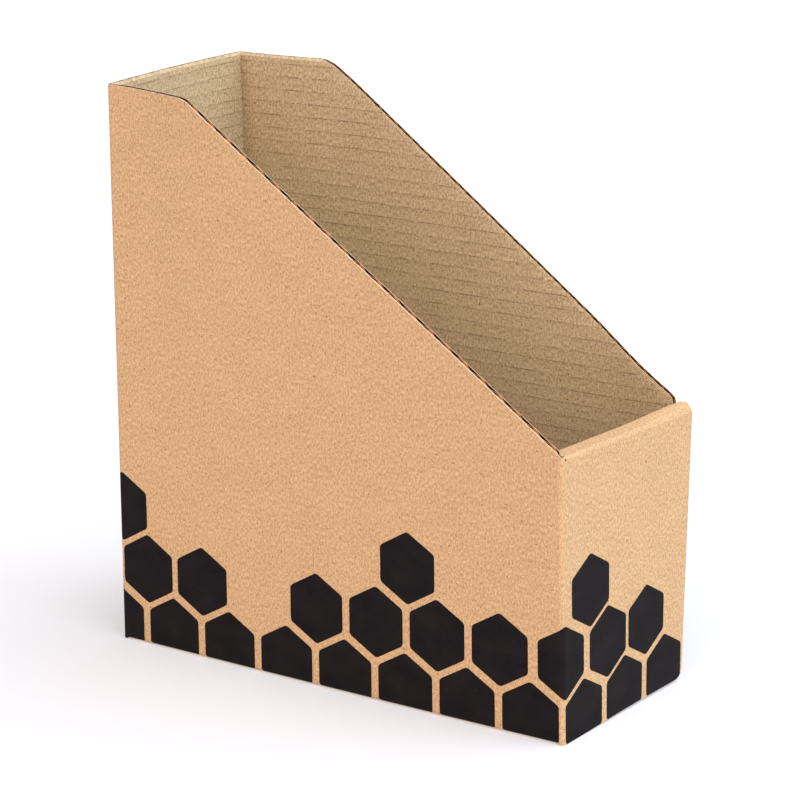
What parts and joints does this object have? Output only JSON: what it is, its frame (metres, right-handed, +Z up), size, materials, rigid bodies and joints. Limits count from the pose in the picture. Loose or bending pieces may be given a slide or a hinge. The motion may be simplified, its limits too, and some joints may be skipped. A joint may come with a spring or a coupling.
{
  "type": "magazine file holder",
  "caption": "Open-topped upright file of folded corrugated board, with sloping side walls, a low front wall whose inner wall rolls over a strip, and a printed honeycomb border.",
  "frame": {"origin": "under the middle of the rectangular base, on the surface it stands on", "axes": "+Z up along the tall back wall, -Y out of the low front wall, +X to the right seen from the front"},
  "size_m": [0.12, 0.29, 0.31],
  "materials": {
    "outer_liner": "matte",
    "inner_liner": "matte",
    "fluted_medium": "matte",
    "printing_ink": "matte"
  },
  "bodies": {
    "holder": {"left_side_outer_liner": "outer_liner", "left_side_medium": "fluted_medium", "left_side_inner_liner": "inner_liner", "back_wall_outer_liner": "outer_liner", "back_wall_medium": "fluted_medium", "back_wall_inner_liner": "inner_liner", "right_side_outer_liner": "outer_liner", "right_side_medium": "fluted_medium", "right_side_inner_liner": "inner_liner", "side_flap_outer_liner": "outer_liner", "side_flap_medium": "fluted_medium", "side_flap_inner_liner": "inner_liner", "front_outer_outer_liner": "outer_liner", "front_outer_medium": "fluted_medium", "front_outer_inner_liner": "inner_liner", "floor_outer_liner": "outer_liner", "floor_medium": "fluted_medium", "floor_inner_liner": "inner_liner", "floor_front_flap_outer_liner": "outer_liner", "floor_front_flap_medium": "fluted_medium", "floor_front_flap_inner_liner": "inner_liner", "floor_back_flap_outer_liner": "outer_liner", "floor_back_flap_medium": "fluted_medium", "floor_back_flap_inner_liner": "inner_liner", "floor_right_flap_outer_liner": "outer_liner", "floor_right_flap_medium": "fluted_medium", "floor_right_flap_inner_liner": "inner_liner"},
    "rollover_strip": {"rollover_strip_outer_liner": "outer_liner", "rollover_strip_medium": "fluted_medium", "rollover_strip_inner_liner": "inner_liner"},
    "inner_front_wall": {"front_inner_outer_liner": "outer_liner", "front_inner_medium": "fluted_medium", "front_inner_inner_liner": "inner_liner"}
  },
  "joints": [
    {"name": "rollover_fold", "type": "hinge", "parent": "holder", "child": "rollover_strip", "pos_m": [0, -0.145, 0.15], "axis": [1, 0, 0], "range_deg": [0, 90]},
    {"name": "inner_wall_fold", "type": "hinge", "parent": "rollover_strip", "child": "inner_front_wall", "pos_m": [0, -0.133, 0.15], "axis": [1, 0, 0], "range_deg": [0, 90]}
  ]
}
